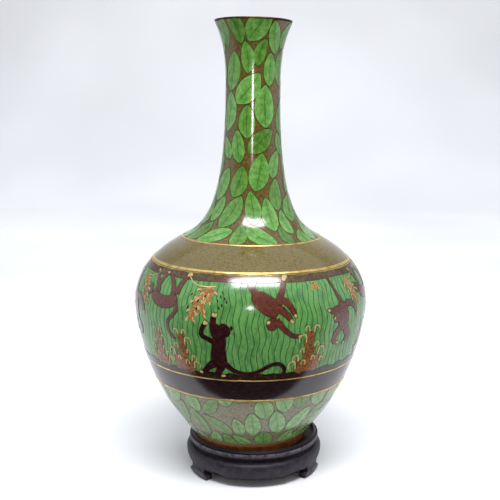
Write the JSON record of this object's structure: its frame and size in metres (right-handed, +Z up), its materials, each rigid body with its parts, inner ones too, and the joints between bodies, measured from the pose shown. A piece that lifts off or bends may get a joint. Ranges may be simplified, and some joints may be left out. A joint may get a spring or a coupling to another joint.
{
  "type": "cloisonne bottle vase on a carved wood stand",
  "caption": "Long-necked round-bellied enamelled copper vase, hollow with an open mouth, resting in the dish of a low round carved hardwood stand on scroll feet.",
  "frame": {"origin": "on the floor under the axis of the vase, which is the centre of the whole part's box", "axes": "+Z up along the vase's axis; -Y is the side with the standing monkey, seen from the front; +X to the right seen from the front"},
  "size_m": [0.212, 0.212, 0.4098],
  "materials": {
    "enamelled_copper": "glossy green cloisonne enamel with flush gilt copper wires on copper",
    "stained_hardwood": "near-black stained carved hardwood with a worn satin polish"
  },
  "bodies": {
    "root": {"vase": "enamelled_copper", "wood_stand": "stained_hardwood"}
  },
  "joints": []
}
